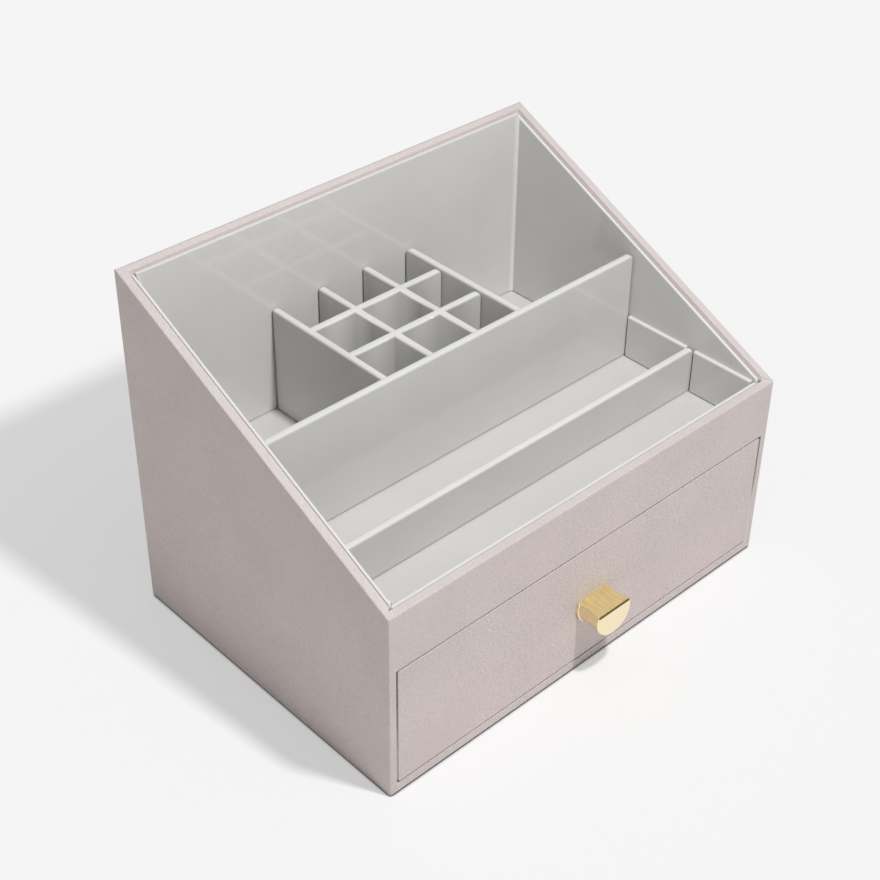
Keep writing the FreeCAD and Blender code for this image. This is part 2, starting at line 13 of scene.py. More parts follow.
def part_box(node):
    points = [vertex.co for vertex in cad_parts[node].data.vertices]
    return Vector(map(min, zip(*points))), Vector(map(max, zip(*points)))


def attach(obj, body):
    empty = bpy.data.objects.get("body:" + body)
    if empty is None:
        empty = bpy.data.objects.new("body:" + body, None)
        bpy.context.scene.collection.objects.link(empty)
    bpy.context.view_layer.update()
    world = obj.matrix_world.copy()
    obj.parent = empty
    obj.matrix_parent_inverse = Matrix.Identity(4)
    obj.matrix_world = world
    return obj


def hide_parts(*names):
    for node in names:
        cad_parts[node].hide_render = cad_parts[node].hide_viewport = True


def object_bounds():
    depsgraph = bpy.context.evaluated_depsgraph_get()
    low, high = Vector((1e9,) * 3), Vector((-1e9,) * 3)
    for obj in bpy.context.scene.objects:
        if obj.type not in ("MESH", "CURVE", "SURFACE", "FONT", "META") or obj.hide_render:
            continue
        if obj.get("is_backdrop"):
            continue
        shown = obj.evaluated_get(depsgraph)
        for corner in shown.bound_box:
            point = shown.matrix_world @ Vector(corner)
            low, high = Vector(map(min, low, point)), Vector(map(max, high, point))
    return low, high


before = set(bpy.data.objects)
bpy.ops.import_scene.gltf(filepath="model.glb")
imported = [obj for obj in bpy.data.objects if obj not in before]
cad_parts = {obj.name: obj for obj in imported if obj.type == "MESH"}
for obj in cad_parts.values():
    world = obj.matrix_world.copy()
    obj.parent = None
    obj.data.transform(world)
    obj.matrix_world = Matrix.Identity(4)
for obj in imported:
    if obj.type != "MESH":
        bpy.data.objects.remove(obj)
cad_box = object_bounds()

MM = 0.001

# Case, mm.
HALF_X = 125.0
HALF_Y = 89.25
FRONT_TOP = 104.5  # rim at the front
BACK_TOP = 190.0  # where the slope would meet the back of the case
SLOPE = (BACK_TOP - FRONT_TOP) / (2 * HALF_Y)
CORNER = 0.8  # radius of the upright corners
FOOT = 0.65  # lower edge of the wrap, above the floor
FOOT_EDGE = 0.25  # radius of that edge
WALL = 4.45  # width of the rim, from the outside to the groove
SKIN = 0.4  # thickness of the leatherette

# Gap round the drawer front, mm.
CRISP = 0.3  # radius of the edges on both sides of the gap
SPARE = 0.15  # how much each side stands back from the CAD's
OPENING_X = 120.7 + SPARE + CRISP
OPENING_LOW = 5.5 - SPARE - CRISP
OPENING_TOP = 73.2 + SPARE + CRISP

# Tray, mm.
TRAY_X, TRAY_Y = 118.0, 82.25  # inner faces of the lining
LINER_BEHIND = 5.45  # side linings' outer faces, from the outside of the case
END_LINING_Y = HALF_Y - LINER_BEHIND + 0.3  # front and back linings' outer faces
SEAM = 0.5  # shadow gap under every board that stands on the tray's floor
TOP_ROUND = 1.35  # radius along the panels' edges
PANEL_CORNER = 3.0  # radius of the panels' upper corners

# Brass knob's axis, mm.
KNOB_X, KNOB_Z = 1.0, 38.6


def mm_box(node):
    """Lowest and highest corner of a CAD node, in millimetres."""
    low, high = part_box(node)
    return [value / MM for value in low], [value / MM for value in high]


# ---------------------------------------------------------------- node helper

class Tree:
    """A node tree under construction."""

    def __init__(self, tree):
        self.tree = tree

    def node(self, kind, **settings):
        made = self.tree.nodes.new(kind)
        for key, value in settings.items():
            setattr(made, key, value)
        return made

    def join(self, source, target):
        self.tree.links.new(source, target)

    def feed(self, socket, value):
        """Link a socket into another, or write a constant on it."""
        if isinstance(value, bpy.types.NodeSocket):
            self.join(value, socket)
        else:
            socket.default_value = value

    def vector(self, operation, a, b=None, scale=None):
        made = self.node("ShaderNodeVectorMath", operation=operation)
        self.feed(made.inputs[0], a)
        if b is not None:
            self.feed(made.inputs[1], b)
        if scale is not None:
            self.feed(made.inputs["Scale"], scale)
        return made.outputs["Vector"]

    def math(self, operation, a, b=None, c=None):
        made = self.node("ShaderNodeMath", operation=operation)
        for socket, value in zip(made.inputs, (a, b, c)):
            if value is not None:
                self.feed(socket, value)
        return made.outputs[0]

    def parts(self, vector):
        made = self.node("ShaderNodeSeparateXYZ")
        self.join(vector, made.inputs[0])
        return made.outputs["X"], made.outputs["Y"], made.outputs["Z"]

    def gather(self, x, y, z):
        made = self.node("ShaderNodeCombineXYZ")
        for socket, value in zip(made.inputs, (x, y, z)):
            self.feed(socket, value)
        return made.outputs[0]

    def span(self, value, low, high, to_low, to_high):
        """Map a range onto another, clamped."""
        made = self.node("ShaderNodeMapRange")
        for key, number in zip(("Value", "From Min", "From Max", "To Min", "To Max"),
                               (value, low, high, to_low, to_high)):
            self.feed(made.inputs[key], number)
        return made.outputs["Result"]

    def mix(self, factor, dark, light):
        """Colour between two colours, each three numbers or a socket."""
        made = self.node("ShaderNodeMix", data_type="RGBA")
        self.feed(made.inputs[0], factor)
        for at, colour in ((6, dark), (7, light)):
            self.feed(made.inputs[at], (*colour, 1.0) if isinstance(colour, tuple) else colour)
        return made.outputs[2]

    def seen(self):
        """1 for the rays that show the background, 0 for those that light the object."""
        rays = self.node("ShaderNodeLightPath")
        either = self.math("MAXIMUM", rays.outputs["Is Camera Ray"], rays.outputs["Is Glossy Ray"])
        return self.math("MAXIMUM", either, rays.outputs["Is Transmission Ray"])


class Look(Tree):
    """A procedural material under construction, worked in millimetres of the object."""

    def __init__(self, name):
        self.material = bpy.data.materials.new(name)
        self.material.use_nodes = True
        super().__init__(self.material.node_tree)
        self.tree.nodes.clear()
        self.shader = self.node("ShaderNodeBsdfPrincipled")
        output = self.node("ShaderNodeOutputMaterial")
        self.join(self.shader.outputs["BSDF"], output.inputs["Surface"])
        self.coords = self.node("ShaderNodeTexCoord")
        self.place = self.vector("SCALE", self.coords.outputs["Object"], scale=1.0 / MM)

    def noise(self, scale, detail=2.0, rough=0.5, at=None):
        """Noise from 0 to 1 with its scale per millimetre."""
        made = self.node("ShaderNodeTexNoise")
        self.join(at or self.place, made.inputs["Vector"])
        made.inputs["Scale"].default_value = scale
        made.inputs["Detail"].default_value = detail
        made.inputs["Roughness"].default_value = rough
        return made.outputs["Fac"]

    def bump(self, height, millimetres, before=None):
        made = self.node("ShaderNodeBump")
        made.inputs["Strength"].default_value = 1.0
        made.inputs["Distance"].default_value = millimetres * MM
        self.join(height, made.inputs["Height"])
        if before is not None:
            self.join(before, made.inputs["Normal"])
        return made.outputs["Normal"]

    def facing(self):
        return self.parts(self.coords.outputs["Normal"])

    def flat_place(self):
        """Two coordinates along the surface, in millimetres, picked by the way it faces."""
        nx, _ny, nz = self.facing()
        faces_x = self.math("GREATER_THAN", self.math("ABSOLUTE", nx), 0.7)
        faces_z = self.math("GREATER_THAN", self.math("ABSOLUTE", nz), 0.7)
        x, y, z = self.parts(self.place)
        across = self.math("MULTIPLY_ADD", self.math("SUBTRACT", y, x), faces_x, x)
        along = self.math("MULTIPLY_ADD", self.math("SUBTRACT", y, z), faces_z, z)
        return across, along

    def faces_up(self):
        """1 where the surface faces up, 0 where it stands."""
        _nx, _ny, nz = self.facing()
        return self.span(nz, 0.55, 0.85, 0.0, 1.0)

    def set(self, **values):
        """Write or link the shader's own sockets; underscores stand for spaces."""
        for key, value in values.items():
            self.feed(self.shader.inputs[key.replace("_", " ")], value)
        return self.material


def shade(colour, factor):
    return tuple(channel * factor for channel in colour)


# ---------------------------------------------------------------- materials

# Base colours, linear.
LEATHER = (0.662, 0.580, 0.563)
LINER = (0.612, 0.606, 0.594)


def leatherette():
    """Leatherette with a printed grain: a fine crossed hatch, broken up. Rims and sides are paler."""
    look = Look("leatherette")
    pitch, lean_across, lean_along = 0.9, 0.866, 0.5  # the lines cross at 60 degrees
    across, along = look.flat_place()
    drift = look.span(look.noise(0.45, 3.0), 0.3, 0.7, -0.35, 0.35)
    lines = []
    for side in (1.0, -1.0):
        phase = look.math("MULTIPLY", across, lean_across)
        phase = look.math("MULTIPLY_ADD", along, side * lean_along, phase)
        phase = look.math("ADD", phase, drift)
        wave = look.math("SINE", look.math("MULTIPLY", phase, 2 * math.pi / pitch))
        lines.append(look.span(wave, -0.4, 1.0, 0.0, 1.0))
    hatch = look.math("MAXIMUM", lines[0], lines[1])
    broken = look.span(look.noise(1.6, 3.0, 0.6), 0.35, 0.65, 0.55, 1.0)
    relief = look.math("MULTIPLY", hatch, broken)
    tone = look.span(look.noise(0.035, 3.0), 0.3, 0.7, 0.2, 0.5)
    tone = look.math("MULTIPLY_ADD", relief, 0.2, tone)
    colour = look.mix(tone, shade(LEATHER, 0.88), shade(LEATHER, 1.06))
    on_rim = look.mix(look.faces_up(), (1.0, 1.0, 1.0), (1.07, 1.11, 1.12))
    colour = look.vector("MULTIPLY", colour, on_rim)
    nx, _ny, _nz = look.facing()
    on_side = look.math("GREATER_THAN", look.math("ABSOLUTE", nx), 0.9)
    colour = look.vector("SCALE", colour, scale=look.math("MULTIPLY_ADD", on_side, 0.08, 1.0))
    wavy = look.bump(look.noise(0.06, 2.0), 0.08)
    normal = look.bump(relief, 0.14, wavy)
    rough = look.span(look.noise(0.9, 2.0), 0.3, 0.7, 0.46, 0.60)
    return look.set(Base_Color=colour, Roughness=rough, Normal=normal, Specular_IOR_Level=0.4)


def liner_sheet():
    """Smooth, glossy grey lining with the slight waves of a glued sheet, paler where it bends."""
    look = Look("grey_liner")
    tone = look.span(look.noise(0.03, 3.0), 0.3, 0.7, 0.0, 1.0)
    colour = look.mix(tone, shade(LINER, 0.975), shade(LINER, 1.02))
    over_floor, near_sides = 81.0, 112.0  # heights and distances from the middle, mm
    x, _y, z = look.parts(look.place)
    top_edge = look.math("MULTIPLY", look.faces_up(), look.math("GREATER_THAN", z, over_floor))
    nx, ny, _nz = look.facing()
    bend = look.span(look.math("ABSOLUTE", look.math("MULTIPLY", nx, ny)), 0.02, 0.4, 0.0, 0.16)
    at_sides = look.math("GREATER_THAN", look.math("ABSOLUTE", x), near_sides)
    bend = look.math("MULTIPLY", bend, at_sides)
    paler = look.math("ADD", look.math("MULTIPLY_ADD", top_edge, 0.2, 1.0), bend)
    colour = look.vector("SCALE", colour, scale=paler)
    wavy = look.bump(look.noise(0.045, 1.0), 0.16)
    grain = look.bump(look.noise(2.2, 3.0, 0.6), 0.004, wavy)
    rough = look.span(look.noise(0.12, 3.0), 0.3, 0.7, 0.02, 0.05)
    return look.set(Base_Color=colour, Roughness=rough, Normal=grain, Specular_IOR_Level=0.5)


def fibreboard():
    """Raw fibreboard: pressed brown fibres, matt."""
    look = Look("fibreboard")
    fibres = look.noise(1.4, 6.0, 0.7)
    tone = look.math("MULTIPLY_ADD", look.noise(0.06, 2.0), 0.4, look.math("MULTIPLY", fibres, 0.6))
    colour = look.mix(look.span(tone, 0.35, 0.65, 0.0, 1.0), (0.24, 0.155, 0.090), (0.40, 0.29, 0.18))
    normal = look.bump(fibres, 0.06)
    rough = look.span(fibres, 0.3, 0.7, 0.75, 0.92)
    return look.set(Base_Color=colour, Roughness=rough, Normal=normal, Specular_IOR_Level=0.25)


def velvet():
    """Short grey pile with brushed patches."""
    look = Look("velvet")
    pile = look.noise(3.5, 4.0, 0.7)
    brushed = look.noise(0.05, 3.0, 0.6)
    tone = look.span(brushed, 0.35, 0.65, 0.0, 0.6)
    tone = look.math("MULTIPLY_ADD", pile, 0.4, tone)
    colour = look.mix(tone, (0.30, 0.295, 0.285), (0.47, 0.465, 0.455))
    normal = look.bump(pile, 0.12, look.bump(brushed, 0.25))
    return look.set(Base_Color=colour, Roughness=0.9, Normal=normal, Specular_IOR_Level=0.15,
                    Sheen_Weight=0.45, Sheen_Roughness=0.4, Sheen_Tint=(0.9, 0.9, 0.88, 1.0))


def felt():
    """Dark pressed sheet under the case."""
    look = Look("base_felt")
    fluff = look.noise(2.0, 6.0, 0.75)
    tone = look.span(fluff, 0.35, 0.65, 0.0, 1.0)
    colour = look.mix(tone, (0.045, 0.040, 0.038), (0.085, 0.078, 0.075))
    return look.set(Base_Color=colour, Roughness=0.95, Normal=look.bump(fluff, 0.15),
                    Specular_IOR_Level=0.1)


def brass():
    """Polished pale brass, the bevel over the face dark, the flat brushed from front to back."""
    look = Look("brass")
    _nx, ny, nz = look.facing()
    on_flat = look.math("GREATER_THAN", nz, 0.9)
    on_face = look.math("LESS_THAN", ny, -0.5)
    leans_out = look.math("LESS_THAN", ny, -0.3)
    on_bevel = look.math("MULTIPLY", leans_out, look.math("GREATER_THAN", nz, 0.4))
    x, y, _z = look.parts(look.place)
    stretched = look.gather(look.math("MULTIPLY", x, 1.5), look.math("MULTIPLY", y, 0.08), 0.0)
    lines = look.noise(1.0, 4.0, 0.7, at=stretched)
    brushed = look.math("MULTIPLY", look.span(lines, 0.35, 0.65, 0.0, 1.0), on_flat)
    smudge = look.noise(0.25, 2.0)
    scratch = look.math("MULTIPLY", brushed, 0.7)
    matt = look.mix(scratch, (0.80, 0.665, 0.365), (0.56, 0.42, 0.18))
    polished = look.mix(on_face, (0.99, 0.83, 0.50), (0.98, 0.83, 0.57))
    colour = look.mix(on_flat, polished, matt)
    colour = look.mix(on_bevel, colour, (0.19, 0.12, 0.04))
    rough = look.math("MULTIPLY_ADD", on_flat, 0.45, look.span(smudge, 0.3, 0.7, 0.10, 0.16))
    normal = look.bump(brushed, 0.02)
    return look.set(Base_Color=colour, Metallic=1.0, Roughness=rough, Normal=normal)


def zinc():
    """Zinc-plated steel with a faint mottle."""
    look = Look("screw_steel")
    mottle = look.noise(0.9, 3.0)
    colour = look.mix(look.span(mottle, 0.3, 0.7, 0.0, 1.0), (0.42, 0.43, 0.45), (0.60, 0.60, 0.58))
    rough = look.span(mottle, 0.3, 0.7, 0.25, 0.42)
    return look.set(Base_Color=colour, Metallic=1.0, Roughness=rough, Normal=look.bump(mottle, 0.01))


LOOKS = {
    "leatherette": leatherette(),
    "grey_liner": liner_sheet(),
    "fibreboard": fibreboard(),
    "velvet": velvet(),
    "base_felt": felt(),
    "brass": brass(),
    "screw_steel": zinc(),
}


# ---------------------------------------------------------------- mesh helpers

def settle(name, bm, look, body, nodes):
    """Turn a mesh in millimetres into a finished piece that stands for its CAD nodes."""
    bmesh.ops.remove_doubles(bm, verts=bm.verts, dist=0.002)
    bmesh.ops.dissolve_degenerate(bm, edges=bm.edges, dist=0.002)
    bmesh.ops.recalc_face_normals(bm, faces=bm.faces)
    bm.transform(Matrix.Scale(MM, 4))
    mesh = bpy.data.meshes.new(name)
    bm.to_mesh(mesh)
    bm.free()
    mesh.polygons.foreach_set("use_smooth", [True] * len(mesh.polygons))
    mesh.materials.append(LOOKS[look])
    piece = bpy.data.objects.new(name, mesh)
    bpy.context.scene.collection.objects.link(piece)
    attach(piece, body)
    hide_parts(*nodes)
    return piece


def even_normals(piece):
    """Let the flat faces rule the shading, so that only the rounded edges turn."""
    modifier = piece.modifiers.new("even_normals", "WEIGHTED_NORMAL")
    modifier.mode = "FACE_AREA"
    modifier.weight = 50
    modifier.keep_sharp = True


def thicken(piece, millimetres):
    """Give a sheet its thickness, behind the side that shows."""
    modifier = piece.modifiers.new("thickness", "SOLIDIFY")
    modifier.thickness = millimetres * MM
    modifier.offset = -1.0
    modifier.use_even_offset = True


def quarter(count):
    """Sine and cosine at even steps of a quarter turn, both ends included."""
    angles = [math.pi / 2 * at / count for at in range(count + 1)]
    return [(math.sin(angle), math.cos(angle)) for angle in angles]


def skin_rows(bm, rows, closed, keep=lambda row, column: True):
    """Faces between rows of points; a row closes on itself when told to."""
    grid = [[bm.verts.new(point) for point in row] for row in rows]
    for row in range(len(grid) - 1):
        here, there = grid[row], grid[row + 1]
        columns = len(here) if closed else len(here) - 1
        for column in range(columns):
            after = (column + 1) % len(here)
            if keep(row, column):
                bm.faces.new((here[column], here[after], there[after], there[column]))
    return grid


# ---------------------------------------------------------------- case wrap

def slope_height(y):
    return FRONT_TOP + (y + HALF_Y) * SLOPE


def wrap_stations():
    """Places round the case in plan: what each faces, how far it faces back, its (x, y) by inset."""
    seam = 0.14  # how far the corner's stations spread at the seam
    stations = []

    def straight_front(x):
        return lambda inset: (x - math.copysign(inset, x), -HALF_Y + inset)

    def mitre_front(side):
        def spot(inset):
            return (side * (HALF_X - max(inset, CORNER)), -HALF_Y + inset)
        return spot

    def bend(side, back, step, turn):
        """Spot on a corner's arc; step counts from the seam, less than 0 on the side wall."""
        sine, cosine = turn

        def spot(inset):
            x = HALF_X - CORNER + max(CORNER - inset, 0.0) * cosine - max(inset - CORNER, 0.0)
            y = HALF_Y - CORNER + max(CORNER - inset, 0.0) * sine - max(inset - CORNER, 0.0)
            slide = seam * abs(step) * min(inset / CORNER, 1.0)
            if step < 0:
                y -= slide
            else:
                x -= slide
            return (side * x, back * y)
        return spot

    turns = quarter(8)
    for side in (1, -1):
        front = [("side", 0.0, bend(side, -1, step - 8, turn)) for step, turn in enumerate(turns[:-1])]
        front.append(("side", 0.0, mitre_front(side)))
        rear = [("seam" if step == 4 else "side", turn[0], bend(side, 1, step - 4, turn))
                for step, turn in enumerate(turns)]
        run = [("front", 0.0, straight_front(side * OPENING_X)), ("front", 0.0, mitre_front(side))]
        stations.append(run + list(reversed(front)) + rear)
    return stations[0] + list(reversed(stations[1]))


def rim_edge(backward):
    """Rounded outer edge of a rim as (inset, drop), which also holds where the top falls inward."""
    lean = math.atan(SLOPE * backward)
    side_radius, back_radius, steps = 0.8, 1.5, 6
    radius = side_radius + (back_radius - side_radius) * backward
    turns = [(math.pi / 2 + lean) * at / steps for at in range(steps + 1)]
    return [(radius - radius * math.cos(turn), radius / math.cos(lean) * (math.sin(turn - lean) - 1.0))
            for turn in turns]


def wrap_rows(stations):
    """Rows of points from under the base, up the wall, over the rim and down inside."""
    under = 3.4  # how far the wrap turns in under the base
    low = [(under, FOOT), (CORNER, FOOT)]
    low += [(FOOT_EDGE - FOOT_EDGE * s, FOOT + FOOT_EDGE - FOOT_EDGE * c) for s, c in quarter(3)]
    low += [(0.0, OPENING_LOW), (0.0, OPENING_TOP)]
    lip = 0.4  # radius of the rim's inner edge
    ledge = LINER_BEHIND + 0.1  # end of the groove, just behind the lining
    tail = -6.0  # end of the turn-in, below the rim
    seam_depth, seam_start = 0.18, 0.9  # the mitre seam's depth, and the inset where it is reached
    ceiling = mm_box("outer_wrap")[1][2]
    fall = [(WALL - lip + lip * s, -lip + lip * c) for s, c in quarter(4)]
    rows = []
    for inset, z in low:
        rows.append([(*spot(inset), z) for _facing, _backward, spot in stations])
    profiles = []
    for facing, backward, _spot in stations:
        trough = 1.2 if facing == "front" else 2.1 - 0.4 * backward
        groove = [(WALL, -trough), (ledge, -trough), (ledge, tail)]
        profiles.append(rim_edge(backward) + fall + groove)
    for at in range(len(profiles[0])):
        row = []
        for (facing, _backward, spot), profile in zip(stations, profiles):
            inset, drop = profile[at]
            x, y = spot(inset)
            if facing == "front":
                row.append((x, y, FRONT_TOP + drop))
            else:
                on_seam = facing == "seam" and inset < WALL
                dip = seam_depth * min(inset / seam_start, 1.0) if on_seam else 0.0
                row.append((x, y, min(slope_height(y) + drop - dip, ceiling)))
        rows.append(row)
    return rows, len(low)


def press_seam(bm, side):
    """Narrow mitre groove from the opening's lower corner to the case's, across the front edge."""
    half_width, depth = 0.3, 0.45
    across = Vector((side, 0.0, 1.0)).normalized()
    start = Vector((side * OPENING_X, 0.0, OPENING_LOW))

    def near(vert):
        return (vert.co.y < CORNER - HALF_Y + 0.01 and vert.co.x * side > OPENING_X - 4.0
                and FOOT + FOOT_EDGE - 0.01 < vert.co.z < OPENING_LOW + 0.01)

    for shift in (-half_width, 0.0, half_width):
        faces = [face for face in bm.faces
                 if abs(face.calc_center_median().x) > OPENING_X - 0.5 or len(face.verts) > 4]
        faces = [face for face in faces if all(near(vert) for vert in face.verts)]
        edges = {edge for face in faces for edge in face.edges}
        verts = {vert for face in faces for vert in face.verts}
        bmesh.ops.bisect_plane(bm, geom=[*faces, *edges, *verts], dist=0.001,
                               plane_co=start + across * shift, plane_no=across)
    for vert in bm.verts:
        off = vert.co - start
        if near(vert) and abs(off.dot(across)) < 0.002 and abs(off.x) > 0.3:
            vert.co.y += depth
            vert.co.x -= side * depth * max(abs(vert.co.x) - HALF_X + CORNER, 0.0) / CORNER


def make_case_wrap():
    """The leatherette of the case: one sheet round the walls, rims, base edge and drawer opening."""
    stations = wrap_stations()
    rows, low_rows = wrap_rows(stations)
    opening_row = low_rows - 2
    right, left = 0, len(stations) - 1
    bm = bmesh.new()
    grid = skin_rows(bm, rows, True, lambda row, column: (row, column) != (opening_row, left))
    above, below = grid[opening_row + 1], grid[opening_row]
    last = [below[right], above[right], above[left], below[left]]
    turn_in = 12.0
    rings = [(CRISP * s, -HALF_Y + CRISP - CRISP * c) for s, c in quarter(4)][1:]
    rings.append((CRISP, turn_in - HALF_Y))
    for inset, y in rings:
        x, low, high = OPENING_X - inset, OPENING_LOW + inset, OPENING_TOP - inset
        corners = ((x, y, low), (x, y, high), (-x, y, high), (-x, y, low))
        ring = [bm.verts.new(point) for point in corners]
        for at in range(4):
            after = (at + 1) % 4
            bm.faces.new((last[at], last[after], ring[after], ring[at]))
        last = ring
    bmesh.ops.remove_doubles(bm, verts=bm.verts, dist=0.002)
    for side in (1, -1):
        press_seam(bm, side)
    wrap = settle("case_wrap", bm, "leatherette", "case", ["outer_wrap"])
    thicken(wrap, SKIN)
    even_normals(wrap)


# ---------------------------------------------------------------- slabs

def slab(name, node, plane, outline, rims, look="grey_liner", faces_at=None):
    """Flat piece of the case with rounded edges that stands for a CAD node.

    outline is its side view. rims gives the radius along each outline edge on the low and on the
    high face, as a function of the edge's middle. faces_at moves the low and the high face.
    """
    through = 0 if plane == "yz" else 1
    sharp_turn, corner_radius = 0.7, 0.3  # radians; radius of the edges across such a corner
    faces_at = faces_at or [corner[through] for corner in mm_box(node)]
    bm = bmesh.new()
    bm.edges.layers.float.new("bevel_weight_edge")
    faces = []
    for w in faces_at:
        points = [(w, u, v) if plane == "yz" else (u, w, v) for u, v in outline]
        faces.append([bm.verts.new(point) for point in points])
    bm.faces.new(faces[0])
    bm.faces.new(list(reversed(faces[1])))
    radii = {}
    count = len(outline)
    for at in range(count):
        after = (at + 1) % count
        bm.faces.new((faces[0][after], faces[0][at], faces[1][at], faces[1][after]))
        middle = [(p + q) / 2 for p, q in zip(outline[at], outline[after])]
        for side in (0, 1):
            edge = bm.edges.get((faces[side][at], faces[side][after]))
            radii[edge] = rims(middle[0], middle[1], side)
        before = outline[at - 1]
        here, there = outline[at], outline[after]
        turn = abs(math.atan2(here[1] - before[1], here[0] - before[0])
                   - math.atan2(there[1] - here[1], there[0] - here[0]))
        if min(turn, 2 * math.pi - turn) > sharp_turn:
            radii[bm.edges.get((faces[0][at], faces[1][at]))] = corner_radius
    return round_off(name, bm, radii, look, [node])


def round_off(name, bm, radii, look, nodes):
    """Finish a piece of the case whose edges are rounded by the given radii."""
    weights = bm.edges.layers.float["bevel_weight_edge"]
    widest = max(radii.values())
    for edge, radius in radii.items():
        edge[weights] = radius / widest
    piece = settle(name, bm, look, "case", nodes)
    modifier = piece.modifiers.new("rounded_edges", "BEVEL")
    modifier.limit_method = "WEIGHT"
    modifier.width = widest * MM
    modifier.segments = 5
    even_normals(piece)
    return piece


def rounded_top(start, end, low, high, radius, at_start=True):
    """Upright outline from start to end, its top corners rounded, the first one only when told to."""
    outline = [(start, low), (end, low)]
    bends = quarter(7)
    outline += [(end - radius + radius * c, high - radius + radius * s) for s, c in bends]
    if at_start:
        outline += [(start + radius - radius * s, high - radius + radius * c) for s, c in bends]
    else:
        outline.append((start, high))
    return outline


def make_side_boards():
    """The fibreboard sides, cut back behind the rounded edges of the wrap."""
    gap = SKIN + 0.03
    end = HALF_Y - CORNER - 0.3
    step_y = WALL - HALF_Y + 0.5
    front_top = FRONT_TOP - 0.8
    for side, outer in (("left", 0), ("right", 1)):
        node = "side_board_" + side
        low = mm_box(node)[0]
        outline = [(-end, low[2]), (end, low[2]), (end, slope_height(end) - gap),
                   (step_y, slope_height(step_y) - gap), (step_y, front_top), (-end, front_top)]

        def rims(u, v, face, outer=outer):
            return 0.5 if face == outer else 0.15
        slab("board_" + side, node, "yz", outline, rims, "fibreboard")


def bend_into_corner(piece, side, foot, top):
    """Curl the back lining's end on to the side lining, as the glued sheet does in the photo."""
    reach, rise, steps, sunk = 2.6, 0.95, 8, 0.3
    radius = (reach * reach + rise * rise) / (2 * rise)
    section = [(TRAY_X, TRAY_Y + sunk), (TRAY_X - reach, TRAY_Y + sunk)]
    for at in range(steps + 1):
        run = reach * at / steps
        y = TRAY_Y - radius + math.sqrt(radius * radius - run * run)
        section.append((TRAY_X - reach + run, y))
    bm = bmesh.new()
    bm.from_mesh(piece.data)
    rings = [[bm.verts.new((side * x * MM, y * MM, z * MM)) for x, y in section] for z in (foot, top)]
    count = len(section)
    added = [bm.faces.new(ring) for ring in rings]
    for at in range(count):
        after = (at + 1) % count
        added.append(bm.faces.new((rings[0][at], rings[0][after], rings[1][after], rings[1][at])))
    bmesh.ops.recalc_face_normals(bm, faces=added)
    for face in added:
        face.smooth = True
        for edge in face.edges:
            edge.smooth = False
    for at in range(3, count - 1):  # between the arc's ends
        bm.edges.get((rings[0][at], rings[1][at])).smooth = True
    bm.to_mesh(piece.data)
    bm.free()


def make_side_liners():
    """The sloped lining of the side walls, rolled down to the front lining at its front end."""
    front, back = -END_LINING_Y, END_LINING_Y
    drop = 1.55  # below the slope of the rim
    roll, roll_end = 2.2, FRONT_TOP - 0.9
    roll_top = slope_height(front + roll) - drop
    for side, name, inside in ((-1.0, "left", 1), (1.0, "right", 0)):
        node = "tray_liner_" + name
        bottom = mm_box(node)[0][2] + SEAM
        outline = [(front, bottom), (back, bottom), (back, slope_height(back) - drop)]
        outline += [(front + roll - roll * s, roll_end + (roll_top - roll_end) * c)
                    for s, c in quarter(5)]

        def rims(u, v, face, inside=inside):
            on_top = v > roll_end and front + 0.01 < u < back - 0.01
            return 0.7 if on_top and face == inside else 0.25
        faces_at = sorted((side * (HALF_X - LINER_BEHIND), side * TRAY_X))
        slab("lining_" + name, node, "yz", outline, rims, faces_at=faces_at)


def make_end_liners():
    """The lining of the front and back walls."""
    for side, name, inside in ((-1.0, "front", 1), (1.0, "back", 0)):
        node = "tray_liner_" + name
        low, high = mm_box(node)
        bottom = low[2] + SEAM
        outline = [(low[0], bottom), (high[0], bottom), (high[0], high[2]), (low[0], high[2])]

        def rims(u, v, face, top=high[2], inside=inside):
            return 0.5 if v > top - 0.01 and face == inside else 0.25
        faces_at = sorted((side * END_LINING_Y, side * TRAY_Y))
        lining = slab("lining_" + name, node, "xz", outline, rims, faces_at=faces_at)
        if name == "back":
            for end in (-1.0, 1.0):
                bend_into_corner(lining, end, bottom, slope_height(TRAY_Y) - 1.7)


def make_strips():
    """The low strips on the side walls that hold the loose panels upright."""
    short = 0.6  # left free at each end
    for side in ("left", "right"):
        for row in ("front", "middle"):
            node = "%s_strip_%s" % (row, side)
            low, high = mm_box(node)
            front, back = low[1] + short, high[1] - short
            bottom = low[2] + SEAM
            outline = [(front, bottom), (back, bottom), (back, high[2]), (front, high[2])]
            inside = 1 if side == "left" else 0

            def rims(u, v, face, top=high[2], ends=(front, back), inside=inside):
                if v > top - 0.01:
                    return 1.0 if face == inside else 0.3
                if face == inside and min(abs(u - end) for end in ends) < 0.01:
                    return 0.7
                return 0.35
            slab("rest_%s_%s" % (row, side), node, "yz", outline, rims)


def make_panels():
    """The loose panels across the tray and the right wall of the middle bay."""
    play = 0.2  # left free at each end of the panels across

    def rims_to(low, square_at=None):
        def rims(u, v, side):
            if v < low + 0.01:
                return 0.4
            if square_at is not None and abs(u - square_at) < 0.01:
                return 0.25
            return TOP_ROUND
        return rims

    for node in ("front_divider", "tall_divider"):
        low, high = mm_box(node)
        bottom = low[2] + SEAM
        outline = rounded_top(low[0] + play, high[0] - play, bottom, high[2], PANEL_CORNER)
        slab("panel_" + node.split("_")[0], node, "xz", outline, rims_to(bottom))
    low, high = mm_box("bay_divider_right")
    bottom = low[2] + SEAM
    outline = rounded_top(low[1], high[1], bottom, high[2], PANEL_CORNER, at_start=False)
    slab("bay_panel_right", "bay_divider_right", "yz", outline, rims_to(bottom, low[1]))


